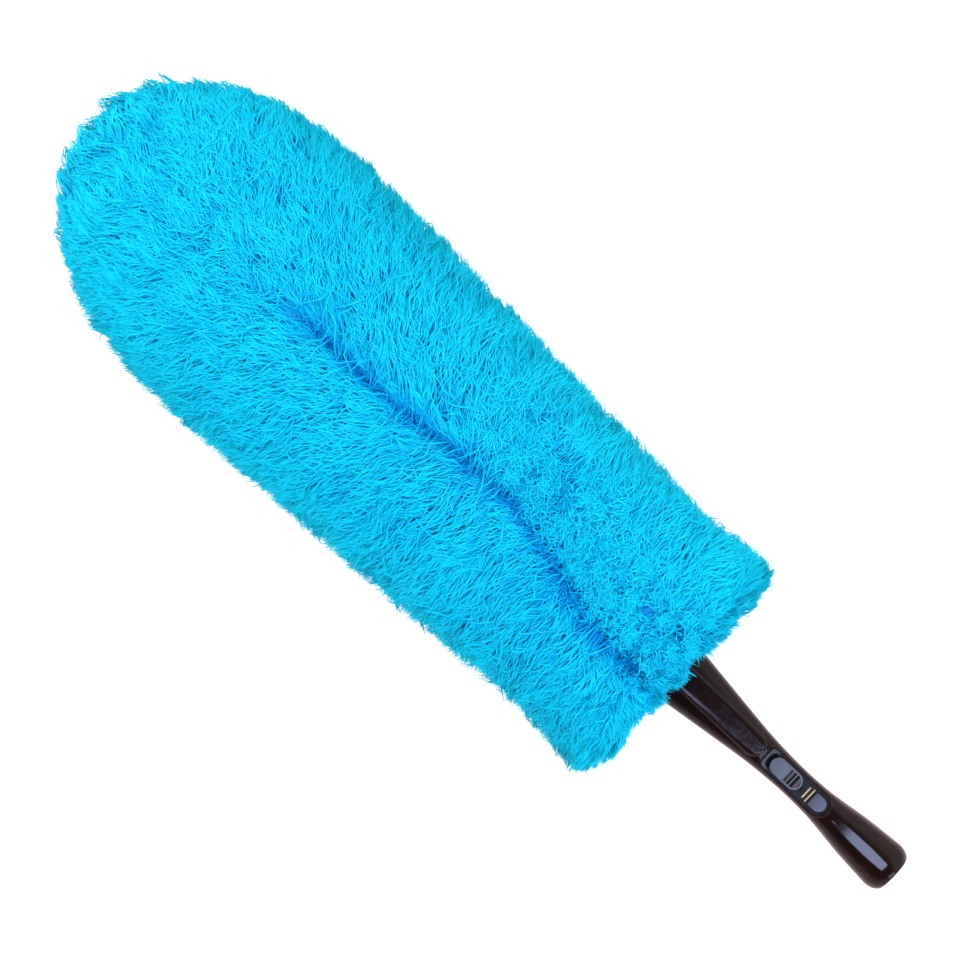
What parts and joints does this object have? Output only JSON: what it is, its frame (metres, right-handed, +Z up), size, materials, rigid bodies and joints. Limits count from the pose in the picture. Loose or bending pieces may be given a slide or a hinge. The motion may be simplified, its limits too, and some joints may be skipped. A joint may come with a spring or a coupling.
{
  "type": "hand duster",
  "caption": "Long flat hand duster: soft round-tipped fibre sleeve over a flexible blade, waisted handle with a sliding thumb latch and a socket for a pole.",
  "frame": {"origin": "centre of the underside of the whole duster's box, on the surface it lies on", "axes": "+X from the handle's end face to the pile's tip, +Z up out of the side with the thumb slider, +Y to the left of +X"},
  "size_m": [0.614, 0.1816, 0.1063],
  "materials": {
    "handle_plastic": "gloss",
    "track_plastic": "gloss",
    "inner_plastic": "satin",
    "carriage_plastic": "satin",
    "blade_plastic": "satin",
    "mark_paint": "satin",
    "steel": "satin",
    "zinc_plate": "polished",
    "brass": "satin",
    "cap_rubber": "matte",
    "backing_fabric": "matte",
    "elastic": "matte",
    "pile_fibre": "matte"
  },
  "bodies": {
    "handle": {"front_shell": "handle_plastic", "rear_shell": "handle_plastic", "pole_socket": "inner_plastic", "slide_track": "track_plastic", "index_marks": "mark_paint", "latch_cradle": "inner_plastic", "latch_pin": "steel", "latch_spring": "steel", "shell_screws": "zinc_plate", "blade_neck": "inner_plastic", "neck_dowels": "steel", "blade": "blade_plastic", "steel_strip": "steel", "strip_rivets": "brass", "tip_cap": "cap_rubber"},
    "slider": {"thumb_slider": "track_plastic", "slider_carriage": "carriage_plastic", "carriage_screw": "zinc_plate"},
    "lever": {"latch_lever": "carriage_plastic"},
    "sleeve": {"sleeve_backing": "backing_fabric", "elastic_cuff": "elastic", "seam_tapes": "backing_fabric", "pile_left": "pile_fibre", "pile_right": "pile_fibre"}
  },
  "joints": [
    {"name": "thumb_slide", "type": "slide", "parent": "handle", "child": "slider", "axis": [-1, 0, 0], "range_m": [0, 0.005], "stiffness_N_per_m": 400, "springref_m": -0.002},
    {"name": "latch_tilt", "type": "hinge", "parent": "handle", "child": "lever", "pos_m": [-0.243, 0, 0.052], "axis": [0, 1, 0], "range_deg": [0, 6], "deforming": ["latch_spring"]},
    {"name": "sleeve_pull", "type": "slide", "parent": "handle", "child": "sleeve", "axis": [1, 0, 0], "range_m": [0, 0.42]}
  ],
  "couplings": [
    {"joint": "latch_tilt", "follows": "thumb_slide", "rad_per_m": 20.94}
  ]
}
